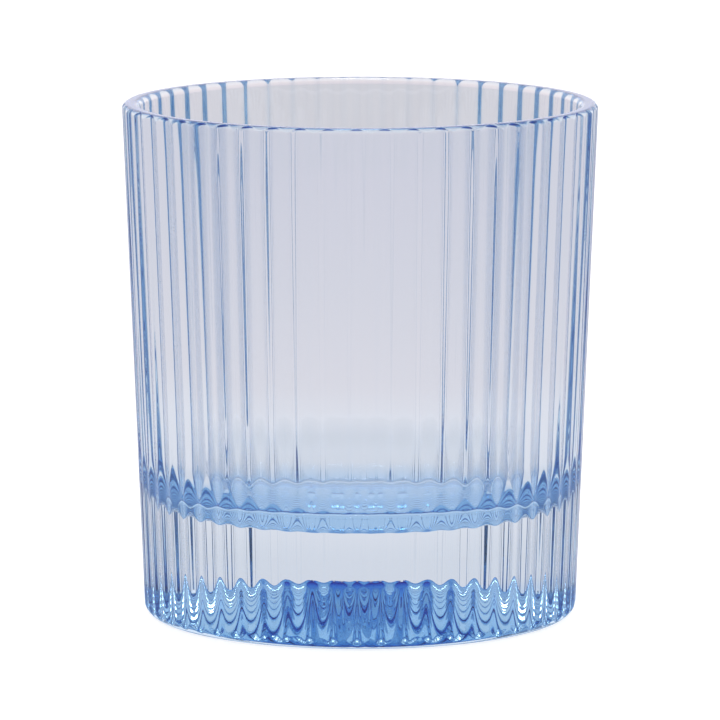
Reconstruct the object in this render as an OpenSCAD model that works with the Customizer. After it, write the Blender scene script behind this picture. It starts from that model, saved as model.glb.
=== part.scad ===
// Straight-sided ribbed glass vase with a thick solid base.
// Millimetres, +Z up, origin at the centre of the surface it stands on.
// The vessel is pressed in one piece, so it is one solid in one node.

/* [Body] */
// Height from the bearing ring to the top of the rim
height = 95; // [85:1:105]
// Largest diameter at the rim, measured over the rib crests
rim_d = 87.5; // [85:0.5:90]
// Largest diameter at the foot, measured over the rib crests
foot_d = 79.7; // [78:0.1:82]

/* [Wall and floor] */
// Thickness of the wall at the rim
rim_wall = 3.3; // [2.8:0.1:4]
// Thickness of the wall where it would meet the foot
foot_wall = 4.2; // [3.6:0.1:5]
// Height of the inner floor above the surface it stands on
floor_z = 20.2; // [16:0.2:26]
// Radius of the curve between the inner wall and the floor
floor_r = 11; // [8:0.5:13]

/* [Edges] */
// Radius of the rounded outer edge of the foot
foot_edge_r = 2.5; // [1.5:0.1:3]
// Radius of the rounded edges of the rim, outside and inside
rim_edge_r = 1.2; // [0.6:0.1:1.3]
// Number of straight steps in each rounded edge
edge_steps = 5; // [3:1:6]

/* [Flutes] */
// Number of vertical flutes around the outside
flute_count = 54; // [48:1:56]
// Depth of a flute below the rib crests
flute_depth = 0.5; // [0.4:0.05:0.6]
// Radius of the round groove that makes a flute
flute_r = 5.2; // [4:0.1:5.4]
// Turn of the flutes about the axis, in degrees
flute_turn = 0.8; // [0:0.1:9]

/* [Underside] */
// Diameter of the domed hollow in the underside
punt_d = 68; // [60:1:70]
// Height of the domed hollow at its centre
punt_depth = 8; // [3:0.5:9]

/* [Hidden] */
$fn = 96;

// Number of straight steps in the curve between the inner wall and the floor
floor_steps = 12;
// Length by which a cutter runs past the solid that it cuts
overrun = 5;

rim_r = rim_d / 2;
foot_r = foot_d / 2;
bore_rim_r = rim_r - rim_wall;
bore_foot_r = foot_r - foot_wall;
// Lean of the outer wall and of the bore from the vertical, in degrees
lean = atan((rim_r - foot_r) / height);
bore_lean = atan((bore_rim_r - bore_foot_r) / height);
// Radius of the sphere that makes the domed hollow
punt_sphere_r = (pow(punt_d / 2, 2) + pow(punt_depth, 2)) / (2 * punt_depth);

// Centres of the rounded edges in the half profile, as [radius, height]
foot_edge = edge_centre(foot_r, lean, foot_edge_r, -foot_edge_r);
rim_outer = edge_centre(foot_r, lean, height - rim_edge_r, -rim_edge_r);
rim_inner = edge_centre(bore_foot_r, bore_lean, height - rim_edge_r, rim_edge_r);
floor_edge = edge_centre(bore_foot_r, bore_lean, floor_z + floor_r, -floor_r);

// Point at height z that is a distance off a leaning wall, outwards if positive
function edge_centre(r, angle, z, off) = [r + z * tan(angle) + off / cos(angle), z];

// Points along a rounded edge, at angles from the outward direction
function rounded(centre, r, from, to, steps) =
    [for (i = [0 : steps])
        let (a = from + (to - from) * i / steps)
        centre + r * [cos(a), sin(a)]];

// Solid blank with the leaning outer wall and both of its rounded edges
module blank() {
    rotate_extrude()
        polygon(concat(
            [[0, 0]],
            rounded(foot_edge, foot_edge_r, -90, -lean, edge_steps),
            rounded(rim_outer, rim_edge_r, -lean, 90, edge_steps),
            [[0, height]]
        ));
}

// Round groove along the leaning wall, from below the foot to above the rim.
// It is trimmed just clear of the crests, so that neighbouring grooves stay apart.
module flute() {
    clear = 0.3;
    width = 2 * PI * foot_r / flute_count - 0.05;
    translate([foot_r, 0, 0])
        rotate([0, lean, 0])
            translate([0, 0, -overrun])
                linear_extrude(height / cos(lean) + 2 * overrun)
                    intersection() {
                        translate([flute_r - flute_depth, 0])
                            circle(flute_r);
                        translate([-flute_depth - clear, -width / 2])
                            square([flute_depth + 2 * clear, width]);
                    }
}

// Blank with the ring of vertical flutes cut into its wall
module ribbed_blank() {
    difference() {
        blank();
        for (i = [0 : flute_count - 1])
            rotate([0, 0, -90 - flute_turn + i * 360 / flute_count])
                flute();
    }
}

// Smooth inside of the vessel, with a curved floor edge and a rounded lip
module bore() {
    rotate_extrude()
        polygon(concat(
            [[0, floor_z]],
            rounded(floor_edge, floor_r, -90, -bore_lean, floor_steps),
            rounded(rim_inner, rim_edge_r, 180 - bore_lean, 90, edge_steps),
            [[rim_inner.x, height + overrun], [0, height + overrun]]
        ));
}

// Domed hollow that leaves a flat bearing ring around the underside
module punt() {
    translate([0, 0, punt_depth - punt_sphere_r])
        sphere(punt_sphere_r);
}

// The whole vessel
module glass_body() {
    color([0.66, 0.80, 0.92, 0.6])
        difference() {
            ribbed_blank();
            bore();
            punt();
        }
}

glass_body();
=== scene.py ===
"""Looks for the ribbed glass vase: fluted glass mesh, tinted glass, pale floor, soft light, camera."""

import math
from collections import namedtuple

import bpy
import numpy as np
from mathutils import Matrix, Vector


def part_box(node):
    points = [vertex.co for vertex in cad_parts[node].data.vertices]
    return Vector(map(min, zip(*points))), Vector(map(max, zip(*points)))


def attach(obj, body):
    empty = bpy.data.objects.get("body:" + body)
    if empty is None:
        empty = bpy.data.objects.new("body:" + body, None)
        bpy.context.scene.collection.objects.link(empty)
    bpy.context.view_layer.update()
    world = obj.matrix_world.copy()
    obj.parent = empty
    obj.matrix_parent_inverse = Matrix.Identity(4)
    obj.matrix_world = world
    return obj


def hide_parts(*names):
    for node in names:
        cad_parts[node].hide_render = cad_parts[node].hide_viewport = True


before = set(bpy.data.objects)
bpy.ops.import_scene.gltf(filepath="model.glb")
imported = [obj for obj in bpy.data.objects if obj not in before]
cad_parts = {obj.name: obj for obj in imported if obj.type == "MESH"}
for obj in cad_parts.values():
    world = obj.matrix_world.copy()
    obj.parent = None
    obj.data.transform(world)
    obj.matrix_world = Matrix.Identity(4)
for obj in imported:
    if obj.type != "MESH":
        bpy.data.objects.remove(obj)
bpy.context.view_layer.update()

MM = 0.001
DEG = math.pi / 180
WHITE = (1, 1, 1, 1)

# The vessel: its height from the CAD, and the other driving dimensions of its design
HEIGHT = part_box("glass_body")[1][2]
RIM_R = 43.75 * MM
FOOT_R = 39.85 * MM
RIM_WALL = 3.3 * MM
FOOT_WALL = 4.2 * MM
FLOOR_Z = 20.2 * MM
FLOOR_CURVE_R = 11.0 * MM
FOOT_EDGE_R = 2.5 * MM
RIM_EDGE_R = 1.2 * MM
PUNT_R = 34.0 * MM
PUNT_DEPTH = 8.0 * MM

# Flutes around the outside, which are deeper at the rim than at the foot
FLUTES = 54
FLUTE_TURN = 0.8 * DEG
FOOT_FLUTE_DEPTH = 0.5 * MM
RIM_FLUTE_DEPTH = 0.78 * MM
# Share of a flute's width over which the ridge between two flutes is rounded
RIDGE_BLUR = 1.0
# How far the inner wall stands in behind the middle of each flute
BORE_WAVE = 0.07 * MM

# Radial flutes pressed into the underside, which fade out towards the middle and the edge
STAR_DEPTH = 0.7 * MM
STAR_INNER_R = 5.0 * MM
STAR_INNER_FADE = 11.0 * MM
STAR_OUTER_R = 36.5 * MM
STAR_OUTER_FADE = 3.0 * MM

# Fine stippling around the outer part of the underside
STIPPLE_DEPTH = 0.3 * MM
STIPPLE_PITCH = 1.5 * MM
STIPPLES_PER_FLUTE = 4
STIPPLE_FROM_R = 32.0 * MM

# Mesh density. The flutes' shape is worked out at several samples to a step, and then thinned.
STEPS_PER_FLUTE = 24
STEPS_AROUND = FLUTES * STEPS_PER_FLUTE
SAMPLES_PER_STEP = 8
EDGE_STEPS = 20
WALL_STEPS = 12
CURVE_STEPS = 20
FLOOR_STEPS = 5
UNDER_STEPS = 150

# Glass, and the thin tinted film on its outside. Straight through a thickness of 1, the film
# passes exp(-FILM_LOSS) of red, green and blue. FILM_CLEAR is a further factor at any angle, and
# FILM_LEAST_COSINE keeps the way through the film finite for a grazing ray.
GLASS_IOR = 1.5
FILM_LOSS = (0.14, 0.07, 0.024)
FILM_CLEAR = 0.97
FILM_LEAST_COSINE = 0.06
WALL_FILM = 1.0
FOOT_FILM = 2.0

# Floor: half its side, its drop below the vase, and its glow and shade as the camera sees it
FLOOR_HALF = 4.0
FLOOR_DROP = 0.05 * MM
FLOOR_SEEN = 0.78
FLOOR_SHADE = 0.5
# Painted light and shade: what the glass shows of the floor, by distance from the axis in metres,
# glows in these colours in place of being lit. The painted shade under the vase stands for floor lit
# through the tinted glass. Around it the painted light is brightest at about 0.2, and from there it
# falls off slowly, as far as 0.75.
FLOOR_PAINTED_LIGHT = [
    (0.038, (0.54, 0.69, 0.90, 1)),
    (0.065, (0.905, 0.85, 0.88, 1)),
    (0.110, (0.905, 0.85, 0.88, 1)),
    (0.155, (0.99, 0.91, 0.93, 1)),
    (0.210, (1.03, 0.93, 0.94, 1)),
    (0.260, (0.97, 0.85, 0.86, 1)),
    (0.410, (0.915, 0.81, 0.835, 1)),
    (0.600, (0.88, 0.775, 0.815, 1)),
    (0.750, (0.77, 0.72, 0.75, 1)),
    (0.850, (0.81, 0.76, 0.785, 1)),
]

# Soft light above and behind the vase
LAMP_HEIGHT = 2.2
LAMP_BACK = 0.6
LAMP_SIZE = 0.4
LAMP_POWER = 5.0

# Tent around the vase, as the glass shows it. It fades to dark on the camera's side, between two
# values of the direction's Y, and is dimmer overhead.
TENT_LEVEL = 1.3
TENT_TOP_SHARE = 0.7
TENT_COLOUR = (0.93, 0.93, 1.0, 1)
CAMERA_SIDE_LEVEL = 0.0
CAMERA_SIDE_FROM = -0.8
CAMERA_SIDE_TO = -0.2

# Camera, which sees the vase from the front
CAMERA_AIM_Z = 47.08 * MM
CAMERA_DISTANCE = 1313.6 * MM
CAMERA_ELEVATION = 8.504 * DEG
CAMERA_LENS_MM = 356.0
CAMERA_SENSOR_MM = 36.0
CAMERA_FAR = 50.0

# Bounces of light, enough for thick glass
BOUNCES = 40

# Places of a Mix node's A and B inputs and of its result, by kind of data
MIX_SOCKETS = {"FLOAT": (2, 3, 0), "RGBA": (6, 7, 2)}

# One ring of the mesh. Its radius follows the wave of the flutes where crest - depth * wave is
# less than radius, and its height rises by lift * wave.
Ring = namedtuple("Ring", "radius height crest depth lift", defaults=(math.inf, 0.0, 0.0))


def crest_radius(z):
    """Radius of the outer wall over the rib crests at height z."""
    return FOOT_R + (RIM_R - FOOT_R) * z / HEIGHT


def flute_depth(z):
    """Depth of the flutes at height z."""
    return FOOT_FLUTE_DEPTH + (RIM_FLUTE_DEPTH - FOOT_FLUTE_DEPTH) * z / HEIGHT


def bore_radius(z):
    """Radius of the inner wall at height z."""
    low = FOOT_R - FOOT_WALL
    high = RIM_R - RIM_WALL
    return low + (high - low) * z / HEIGHT


def quarter_turn(steps):
    """Sine and cosine at each step of a quarter turn, for a rounded edge."""
    angles = [math.pi / 2 * i / steps for i in range(steps + 1)]
    return [(math.sin(a), math.cos(a)) for a in angles]


def ramp(value):
    """The value, held between 0 and 1."""
    return min(1.0, max(0.0, value))


def flute_wave():
    """Depth of the flutes at each step around, from 0 on a ridge to 1 in the middle of a flute.

    Each flute is a parabola, and a smooth kernel run around the vessel rounds the ridges.
    """
    samples = STEPS_AROUND * SAMPLES_PER_STEP
    turn = np.arange(samples) * FLUTES / samples + FLUTE_TURN * FLUTES / (2 * math.pi)
    across = 2 * (turn - np.round(turn))
    profile = 1 - across**2
    # The window is 0 at both of its ends, so it is made two samples longer than the blur
    window = np.hanning(round(RIDGE_BLUR * STEPS_PER_FLUTE * SAMPLES_PER_STEP) + 2)
    kernel = np.zeros(samples)
    kernel[: len(window)] = window / window.sum()
    kernel = np.roll(kernel, -(len(window) // 2))
    blurred = np.fft.irfft(np.fft.rfft(profile) * np.fft.rfft(kernel), samples)
    wave = blurred[::SAMPLES_PER_STEP]
    return (wave - wave.min()) / (wave.max() - wave.min())


def underside_rings():
    """Domed hollow and bearing ring, from the axis out to the rounded edge of the foot."""
    outer = crest_radius(0) - FOOT_EDGE_R
    rings = []
    for i in range(1, UNDER_STEPS + 1):
        r = outer * i / UNDER_STEPS
        z = PUNT_DEPTH * max(0.0, 1 - (r / PUNT_R) ** 2)
        star = ramp((r - STAR_INNER_R) / STAR_INNER_FADE) * ramp((STAR_OUTER_R - r) / STAR_OUTER_FADE)
        rings.append(Ring(r, z, lift=STAR_DEPTH * star))
    return rings


def outer_ring(inset, z):
    """Ring of the outer wall at height z, set in from the crests where an edge is rounded."""
    crest = crest_radius(z)
    return Ring(crest - inset, z, crest, flute_depth(z))


def outer_rings():
    """Rounded edge of the foot, fluted wall and outer half of the rim, from the bottom up."""
    rings = []
    for s, c in quarter_turn(EDGE_STEPS)[1:]:
        rings.append(outer_ring(FOOT_EDGE_R * (1 - s), FOOT_EDGE_R * (1 - c)))
    for i in range(1, WALL_STEPS):
        z = FOOT_EDGE_R + (HEIGHT - RIM_EDGE_R - FOOT_EDGE_R) * i / WALL_STEPS
        rings.append(outer_ring(0.0, z))
    for s, c in quarter_turn(EDGE_STEPS):
        rings.append(outer_ring(RIM_EDGE_R * (1 - c), HEIGHT - RIM_EDGE_R * (1 - s)))
    return rings


def inner_rings():
    """Inner half of the rim, inner wall, curve and floor, from the rim down to the axis."""
    rings = []
    for s, c in quarter_turn(EDGE_STEPS):
        z = HEIGHT - RIM_EDGE_R * (1 - c)
        rings.append(Ring(bore_radius(z) + RIM_EDGE_R * (1 - s), z))
    top = HEIGHT - RIM_EDGE_R
    curve_top = FLOOR_Z + FLOOR_CURVE_R
    for i in range(1, WALL_STEPS):
        z = top + (curve_top - top) * i / WALL_STEPS
        rings.append(Ring(bore_radius(z), z, crest=bore_radius(z), depth=BORE_WAVE))
    curve_centre_r = bore_radius(curve_top) - FLOOR_CURVE_R
    for s, c in quarter_turn(CURVE_STEPS):
        rings.append(Ring(curve_centre_r + FLOOR_CURVE_R * c, curve_top - FLOOR_CURVE_R * s))
    for i in range(FLOOR_STEPS - 1, 0, -1):
        rings.append(Ring(curve_centre_r * i / FLOOR_STEPS, FLOOR_Z))
    return rings


def stipple(r, z, angle):
    """Rows of small pits in the underside, between STIPPLE_FROM_R and the edge of the foot."""
    if z > FOOT_EDGE_R or r < STIPPLE_FROM_R or r > FOOT_R - FOOT_EDGE_R:
        return np.zeros(len(angle))
    row = (r - STIPPLE_FROM_R) / STIPPLE_PITCH
    across = np.sin(angle * FLUTES * STIPPLES_PER_FLUTE + math.pi * math.floor(row))
    return STIPPLE_DEPTH * (math.sin(math.pi * row) * across) ** 2


def ring_points(rings):
    """Points of each ring in turn, and then the middles of the underside and the inner floor."""
    wave = flute_wave()
    # Angle 0 is at the front
    angle = np.arange(STEPS_AROUND) * 2 * math.pi / STEPS_AROUND
    points = []
    for ring in rings:
        radius = np.minimum(ring.radius, ring.crest - ring.depth * wave)
        height = ring.height + ring.lift * wave + stipple(ring.radius, ring.height, angle)
        points.append(np.stack([radius * np.sin(angle), -radius * np.cos(angle), height], axis=1))
    middles = [[[0, 0, PUNT_DEPTH]], [[0, 0, FLOOR_Z]]]
    return np.concatenate(points + middles).tolist()


def ring_faces(ring_count):
    """Faces of the closed surface: a fan, a strip between each ring and the next, and a fan."""
    here = np.arange(STEPS_AROUND)
    after = (here + 1) % STEPS_AROUND
    last = (ring_count - 1) * STEPS_AROUND
    under_middle = ring_count * STEPS_AROUND
    floor_middle = under_middle + 1
    faces = [(b, a, under_middle) for a, b in zip(here.tolist(), after.tolist())]
    for low in range(0, last, STEPS_AROUND):
        high = low + STEPS_AROUND
        faces += np.stack([low + here, low + after, high + after, high + here], axis=1).tolist()
    faces += [(last + a, last + b, floor_middle) for a, b in zip(here.tolist(), after.tolist())]
    return faces


def vase_mesh():
    """Closed mesh around +Z. Its material slots are the underside, the outside and the inside."""
    under, outside, inside = underside_rings(), outer_rings(), inner_rings()
    rings = under + outside + inside
    mesh = bpy.data.meshes.new("ribbed_glass_body")
    mesh.from_pydata(ring_points(rings), [], ring_faces(len(rings)))
    mesh.update()
    # Fans and strips together are one more than the rings, and the last fan is on the inside
    strips = (len(under), len(outside), len(inside) + 1)
    slots = np.repeat((0, 1, 2), [count * STEPS_AROUND for count in strips])
    mesh.polygons.foreach_set("material_index", slots.tolist())
    mesh.shade_smooth()
    return mesh


def new_material(name):
    """A material with an empty node tree, and the tree."""
    material = bpy.data.materials.new(name)
    material.use_nodes = True
    material.node_tree.nodes.clear()
    return material, material.node_tree


def set_input(tree, socket, value):
    """Link the socket to another socket, or give it a plain value."""
    if isinstance(value, bpy.types.NodeSocket):
        tree.links.new(value, socket)
    else:
        socket.default_value = value


def math_node(tree, operation, *values):
    """A Math node's output. The values are sockets or numbers."""
    node = tree.nodes.new("ShaderNodeMath")
    node.operation = operation
    for socket, value in zip(node.inputs, values):
        set_input(tree, socket, value)
    return node.outputs[0]


def mix_node(tree, kind, factor, first, second):
    """A Mix node's output: first where factor is 0 and second where it is 1."""
    a, b, result = MIX_SOCKETS[kind]
    node = tree.nodes.new("ShaderNodeMix")
    node.data_type = kind
    set_input(tree, node.inputs[0], factor)
    set_input(tree, node.inputs[a], first)
    set_input(tree, node.inputs[b], second)
    return node.outputs[result]


def mix_shader(tree, factor, first, second):
    """A Mix Shader node's output: first where factor is 0 and second where it is 1."""
    node = tree.nodes.new("ShaderNodeMixShader")
    for socket, value in zip(node.inputs, (factor, first, second)):
        tree.links.new(value, socket)
    return node.outputs[0]


def glow(tree, colour, strength):
    """An emission shader. The colour is a socket or a plain colour."""
    node = tree.nodes.new("ShaderNodeEmission")
    node.inputs["Strength"].default_value = strength
    set_input(tree, node.inputs["Color"], colour)
    return node.outputs[0]


def film_path(tree, from_inside):
    """Way of a ray through the film, in thicknesses: 1 over the cosine of its angle in the glass.

    from_inside is 1 where the ray meets the surface from inside the glass, and 0 elsewhere.
    """
    facing = tree.nodes.new("ShaderNodeLayerWeight")
    # At this blend, Facing is 1 less the cosine
    facing.inputs["Blend"].default_value = 0.5
    cosine = math_node(tree, "SUBTRACT", 1.0, facing.outputs["Facing"])
    sine_squared = math_node(tree, "SUBTRACT", 1.0, math_node(tree, "MULTIPLY", cosine, cosine))
    bent = math_node(tree, "DIVIDE", sine_squared, GLASS_IOR**2)
    entering = math_node(tree, "SQRT", math_node(tree, "SUBTRACT", 1.0, bent))
    in_glass = mix_node(tree, "FLOAT", from_inside, entering, cosine)
    return math_node(tree, "DIVIDE", 1.0, math_node(tree, "MAXIMUM", in_glass, FILM_LEAST_COSINE))


def film_colour(tree, path, thickness):
    """What a film of this thickness lets through, for a ray whose way film_path gave."""
    colour = tree.nodes.new("ShaderNodeCombineColor")
    for loss, socket in zip(FILM_LOSS, colour.inputs):
        passed = math_node(tree, "POWER", math.exp(-loss * thickness), path)
        tree.links.new(math_node(tree, "MULTIPLY", passed, FILM_CLEAR), socket)
    return colour.outputs[0]


def glass_material(name, film):
    """Glass with a tinted film on its surface. film is the film's thickness, and 0 for none."""
    material, tree = new_material(name)
    from_inside = tree.nodes.new("ShaderNodeNewGeometry").outputs["Backfacing"]
    bend = tree.nodes.new("ShaderNodeBsdfRefraction")
    bend.inputs["IOR"].default_value = GLASS_IOR
    bend.inputs["Roughness"].default_value = 0.0
    mirror = tree.nodes.new("ShaderNodeBsdfAnisotropic")
    mirror.inputs["Roughness"].default_value = 0.0
    mirror.inputs["Color"].default_value = WHITE
    if film:
        path = film_path(tree, from_inside)
        tree.links.new(film_colour(tree, path, film), bend.inputs["Color"])
        # A reflection inside the glass goes through the tint twice, and one outside not at all
        twice = film_colour(tree, path, 2 * film)
        tree.links.new(mix_node(tree, "RGBA", from_inside, WHITE, twice), mirror.inputs["Color"])
    fresnel = tree.nodes.new("ShaderNodeFresnel")
    fresnel.inputs["IOR"].default_value = GLASS_IOR
    shader = mix_shader(tree, fresnel.outputs[0], bend.outputs[0], mirror.outputs[0])
    output = tree.nodes.new("ShaderNodeOutputMaterial")
    tree.links.new(shader, output.inputs["Surface"])
    return material


def add_vase():
    """The vessel, in place of its CAD node."""
    vase = bpy.data.objects.new("ribbed_glass_body", vase_mesh())
    bpy.context.scene.collection.objects.link(vase)
    vase.data.materials.append(glass_material("glass_foot", FOOT_FILM))
    vase.data.materials.append(glass_material("glass_outside", WALL_FILM))
    vase.data.materials.append(glass_material("glass_inside", 0.0))
    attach(vase, "root")
    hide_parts("glass_body")


def floor_material():
    """White as the camera sees it. In the glass it glows in FLOOR_PAINTED_LIGHT, painted light and
    shade, without real shadows.
    """
    material, tree = new_material("floor")
    diffuse = tree.nodes.new("ShaderNodeBsdfDiffuse")
    diffuse.inputs["Color"].default_value = (FLOOR_SHADE, FLOOR_SHADE, FLOOR_SHADE, 1)
    plain = tree.nodes.new("ShaderNodeAddShader")
    tree.links.new(diffuse.outputs[0], plain.inputs[0])
    tree.links.new(glow(tree, WHITE, FLOOR_SEEN), plain.inputs[1])
    away = tree.nodes.new("ShaderNodeVectorMath")
    away.operation = "LENGTH"
    tree.links.new(tree.nodes.new("ShaderNodeNewGeometry").outputs["Position"], away.inputs[0])
    # Ramp of the painted light and shade on the floor, by distance from the axis
    painted_light_ramp = tree.nodes.new("ShaderNodeValToRGB")
    # A new ramp has two stops already
    for position, _ in FLOOR_PAINTED_LIGHT[2:]:
        painted_light_ramp.color_ramp.elements.new(position)
    for stop, (position, colour) in zip(painted_light_ramp.color_ramp.elements, FLOOR_PAINTED_LIGHT):
        stop.position = position
        stop.color = colour
    tree.links.new(away.outputs["Value"], painted_light_ramp.inputs[0])
    # Painted light and shade: the floor seen in the glass glows by distance, in place of being lit
    in_glass = glow(tree, painted_light_ramp.outputs["Color"], 1.0)
    seen = tree.nodes.new("ShaderNodeLightPath").outputs["Is Camera Ray"]
    output = tree.nodes.new("ShaderNodeOutputMaterial")
    tree.links.new(mix_shader(tree, seen, in_glass, plain.outputs[0]), output.inputs["Surface"])
    return material


def add_floor():
    """Plain square floor, just below the vase."""
    mesh = bpy.data.meshes.new("floor")
    corners = [(-1, -1), (1, -1), (1, 1), (-1, 1)]
    points = [(x * FLOOR_HALF, y * FLOOR_HALF, -FLOOR_DROP) for x, y in corners]
    mesh.from_pydata(points, [], [(0, 1, 2, 3)])
    mesh.materials.append(floor_material())
    floor = bpy.data.objects.new("floor", mesh)
    bpy.context.scene.collection.objects.link(floor)


def add_lamp():
    """Soft light above and behind the vase, pointing straight down."""
    data = bpy.data.lights.new("overhead", "AREA")
    data.shape = "SQUARE"
    data.size = LAMP_SIZE
    data.energy = LAMP_POWER
    lamp = bpy.data.objects.new("overhead", data)
    lamp.location = (0, LAMP_BACK, LAMP_HEIGHT)
    bpy.context.scene.collection.objects.link(lamp)


def tent_strength(tree):
    """Brightness of the tent, by direction: dark on the camera's side and dimmer overhead."""
    split = tree.nodes.new("ShaderNodeSeparateXYZ")
    tree.links.new(tree.nodes.new("ShaderNodeTexCoord").outputs["Generated"], split.inputs[0])
    level = tree.nodes.new("ShaderNodeMapRange")
    level.interpolation_type = "SMOOTHSTEP"
    level.inputs["From Min"].default_value = CAMERA_SIDE_FROM
    level.inputs["From Max"].default_value = CAMERA_SIDE_TO
    level.inputs["To Min"].default_value = CAMERA_SIDE_LEVEL
    level.inputs["To Max"].default_value = TENT_LEVEL
    tree.links.new(split.outputs["Y"], level.inputs["Value"])
    overhead = tree.nodes.new("ShaderNodeMapRange")
    overhead.inputs["To Min"].default_value = 1.0
    overhead.inputs["To Max"].default_value = TENT_TOP_SHARE
    tree.links.new(split.outputs["Z"], overhead.inputs["Value"])
    return math_node(tree, "MULTIPLY", level.outputs[0], overhead.outputs[0])


def add_world():
    """White backdrop for the camera, and the tent for all other rays."""
    world = bpy.data.worlds.new("studio")
    bpy.context.scene.world = world
    world.use_nodes = True
    tree = world.node_tree
    tree.nodes.clear()
    tent = tree.nodes.new("ShaderNodeBackground")
    tent.inputs["Color"].default_value = TENT_COLOUR
    tree.links.new(tent_strength(tree), tent.inputs["Strength"])
    backdrop = tree.nodes.new("ShaderNodeBackground")
    backdrop.inputs["Color"].default_value = WHITE
    seen = tree.nodes.new("ShaderNodeLightPath").outputs["Is Camera Ray"]
    surface = mix_shader(tree, seen, tent.outputs[0], backdrop.outputs[0])
    output = tree.nodes.new("ShaderNodeOutputWorld")
    tree.links.new(surface, output.inputs["Surface"])


def add_camera():
    """Long lens above the rim, looking along +Y and a little down."""
    data = bpy.data.cameras.new("camera")
    data.lens = CAMERA_LENS_MM
    data.sensor_width = CAMERA_SENSOR_MM
    data.clip_end = CAMERA_FAR
    camera = bpy.data.objects.new("camera", data)
    back = CAMERA_DISTANCE * math.cos(CAMERA_ELEVATION)
    up = CAMERA_DISTANCE * math.sin(CAMERA_ELEVATION)
    camera.location = (0, -back, CAMERA_AIM_Z + up)
    camera.rotation_euler = (math.pi / 2 - CAMERA_ELEVATION, 0, 0)
    bpy.context.scene.collection.objects.link(camera)
    bpy.context.scene.camera = camera


def set_look():
    """Enough bounces for thick glass, and plain colours."""
    scene = bpy.context.scene
    scene.view_settings.view_transform = "Standard"
    for name in ("max_bounces", "glossy_bounces", "transmission_bounces"):
        setattr(scene.cycles, name, BOUNCES)


add_camera()
add_vase()
add_floor()
add_lamp()
add_world()
set_look()
